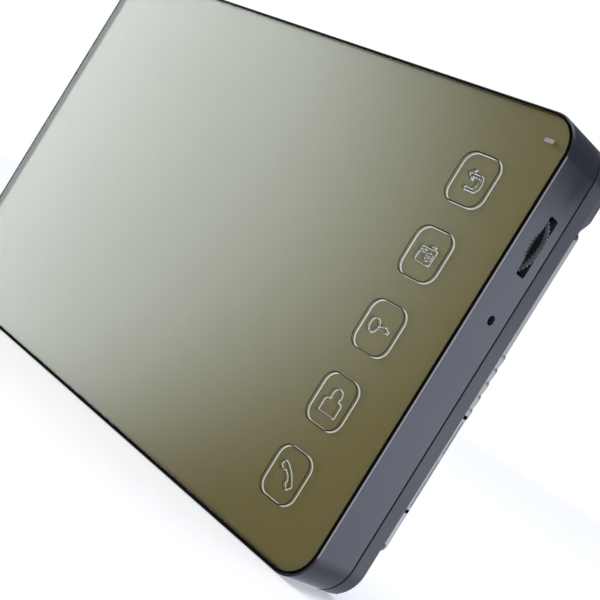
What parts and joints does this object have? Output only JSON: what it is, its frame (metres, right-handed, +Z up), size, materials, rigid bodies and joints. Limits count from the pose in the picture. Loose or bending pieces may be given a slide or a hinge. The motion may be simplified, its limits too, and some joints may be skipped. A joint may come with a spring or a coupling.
{
  "type": "video intercom monitor",
  "caption": "Wall-hung video intercom monitor with a mirror front, a column of touch keys, a side volume wheel and a lift-off steel wall bracket.",
  "frame": {"origin": "centre of the wall bracket's back face, on the wall plane", "axes": "+Z up, +Y into the wall, +X to the right seen from the front"},
  "size_m": [0.2219, 0.0242, 0.137],
  "materials": {
    "gloss_black": "high-gloss black",
    "satin_black": "black, semi-gloss",
    "bronze_mirror": "bronze-tinted mirror acrylic",
    "foam_tape": "matte",
    "display_glass": "polished",
    "clear_acrylic": "clear",
    "bright_steel": "bright",
    "zinc_plate": "zinc plated, dull",
    "aluminium": "satin",
    "board_green": "solder mask",
    "chip_black": "matte",
    "socket_white": "moulded",
    "label_paper": "paper",
    "ribbon_film": "film",
    "cone_paper": "pressed paper",
    "foam": "open foam",
    "rubber": "matte"
  },
  "bodies": {
    "bracket": {"wall_bracket": "zinc_plate"},
    "housing": {"board_screw_1": "bright_steel", "board_screw_2": "bright_steel", "board_screw_3": "bright_steel", "board_screw_4": "bright_steel", "capacitor_1": "aluminium", "capacitor_2": "aluminium", "capacitor_3": "aluminium", "door_socket_1": "socket_white", "door_socket_2": "socket_white", "front_shell": "gloss_black", "housing_screw_1": "bright_steel", "housing_screw_2": "bright_steel", "housing_screw_3": "bright_steel", "housing_screw_4": "bright_steel", "inductor_1": "chip_black", "inductor_2": "chip_black", "lcd_glass": "display_glass", "lcd_ribbon": "ribbon_film", "lcd_tray": "bright_steel", "light_guide": "clear_acrylic", "main_board": "board_green", "microphone_boot": "rubber", "microphone_capsule": "aluminium", "mirror_panel": "bronze_mirror", "monitor_socket": "socket_white", "panel_tape": "foam_tape", "power_socket": "socket_white", "processor": "chip_black", "rating_label": "label_paper", "rear_shell": "satin_black", "speaker_cone": "cone_paper", "speaker_frame": "bright_steel", "speaker_gasket": "foam", "speaker_magnet": "bright_steel", "status_board": "board_green", "status_led": "label_paper", "status_light_pipe": "clear_acrylic", "touch_board": "board_green", "touch_ribbon": "ribbon_film", "touch_spring_camera": "bright_steel", "touch_spring_handset": "bright_steel", "touch_spring_key": "bright_steel", "touch_spring_padlock": "bright_steel", "touch_spring_return": "bright_steel", "video_decoder": "chip_black", "volume_pot": "chip_black"},
    "wheel": {"volume_wheel": "gloss_black", "volume_spindle": "aluminium"}
  },
  "joints": [
    {"name": "housing_lift", "type": "slide", "parent": "bracket", "child": "housing", "axis": [0, 0, 1], "range_m": [0, 0.007]},
    {"name": "volume_turn", "type": "hinge", "parent": "housing", "child": "wheel", "pos_m": [0.1004, -0.0157, 0.0362], "axis": [0, -1, 0], "range_deg": [-150, 150]}
  ]
}
